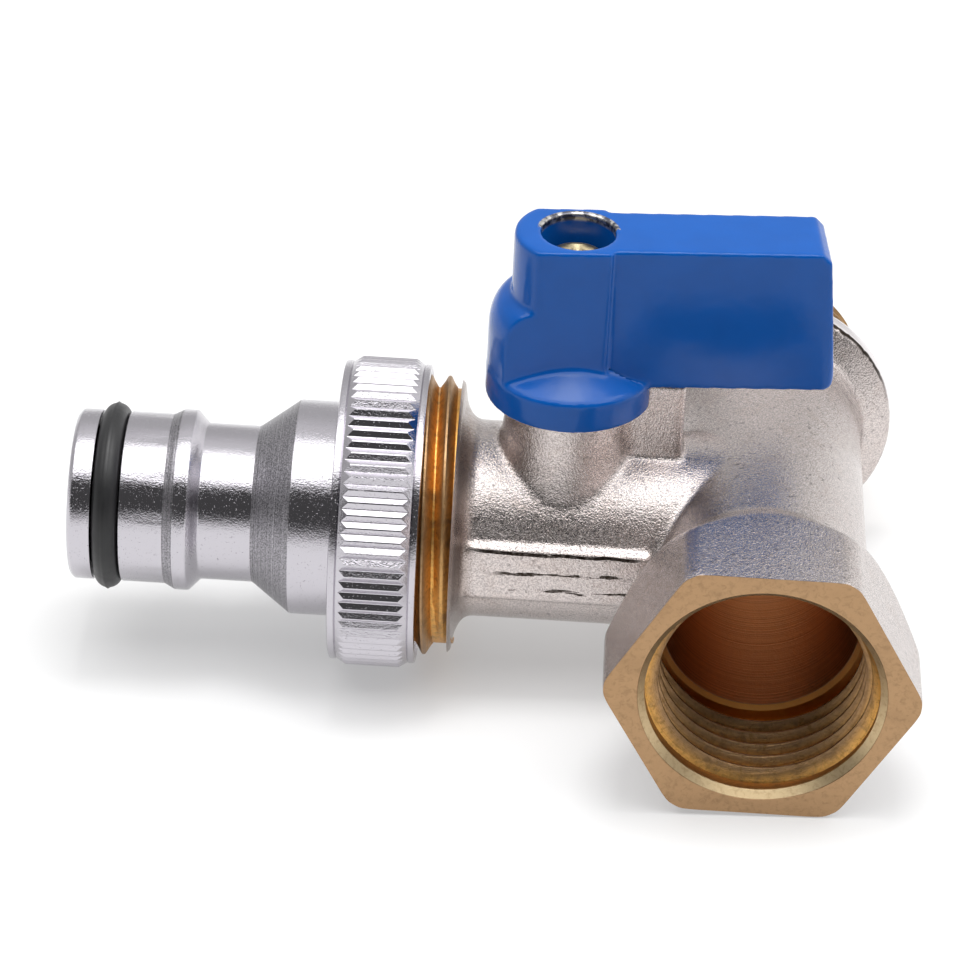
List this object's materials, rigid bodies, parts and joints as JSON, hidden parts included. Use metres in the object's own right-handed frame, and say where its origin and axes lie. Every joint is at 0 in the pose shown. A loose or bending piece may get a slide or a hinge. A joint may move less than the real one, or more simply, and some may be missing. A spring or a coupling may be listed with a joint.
{
  "type": "angle valve",
  "caption": "Tee valve with a hexagonal threaded inlet, a threaded outlet and a branch ball valve with a blue wing handle, ending in a knurled nut and a plug-in hose nipple.",
  "frame": {"origin": "on the run's axis, where the inlet's thread starts behind its mouth chamfer", "axes": "-Y out of the inlet, +Y along the run to the outlet, -X along the branch to the hose nipple, +Z along the valve stem"},
  "size_m": [0.0791, 0.0604, 0.0459],
  "materials": {
    "nickel_body": "satin nickel plating over forged brass, with a fine grain",
    "blue_paint": "glossy blue paint on a cast handle",
    "screw_steel": "zinc plated steel",
    "chrome_nut": "bright chrome plating",
    "chrome_nipple": "chrome plating over a turned surface with fine lines",
    "black_rubber": "smooth black rubber",
    "chrome_ball": "polished chrome plating",
    "seat_white": "plain white low-friction plastic",
    "turned_brass": "turned brass"
  },
  "bodies": {
    "valve": {"valve_body": "nickel_body", "inner_seat": "seat_white", "outer_seat": "seat_white", "seat_retainer": "turned_brass", "stem_thrust_washer": "seat_white"},
    "handle": {"handle": "blue_paint", "handle_screw": "screw_steel", "stem": "turned_brass", "ball": "chrome_ball", "lower_stem_ring": "black_rubber", "upper_stem_ring": "black_rubber"},
    "connector": {"nipple": "chrome_nipple", "nipple_o_ring": "black_rubber", "union_washer": "black_rubber"},
    "nut": {"union_nut": "chrome_nut"}
  },
  "joints": [
    {"name": "handle_turn", "type": "hinge", "parent": "valve", "child": "handle", "pos_m": [-0.0188, 0.02635, 0.02], "axis": [0, 0, -1], "range_deg": [0, 90]},
    {"name": "connector_draw", "type": "slide", "parent": "valve", "child": "connector", "axis": [-1, 0, 0], "range_m": [0, 0.00363]},
    {"name": "nut_turn", "type": "hinge", "parent": "connector", "child": "nut", "pos_m": [-0.035, 0.02635, 0], "axis": [-1, 0, 0], "range_deg": [0, 725]}
  ],
  "couplings": [
    {"joint": "nut_turn", "follows": "connector_draw", "rad_per_m": 3463.7}
  ]
}
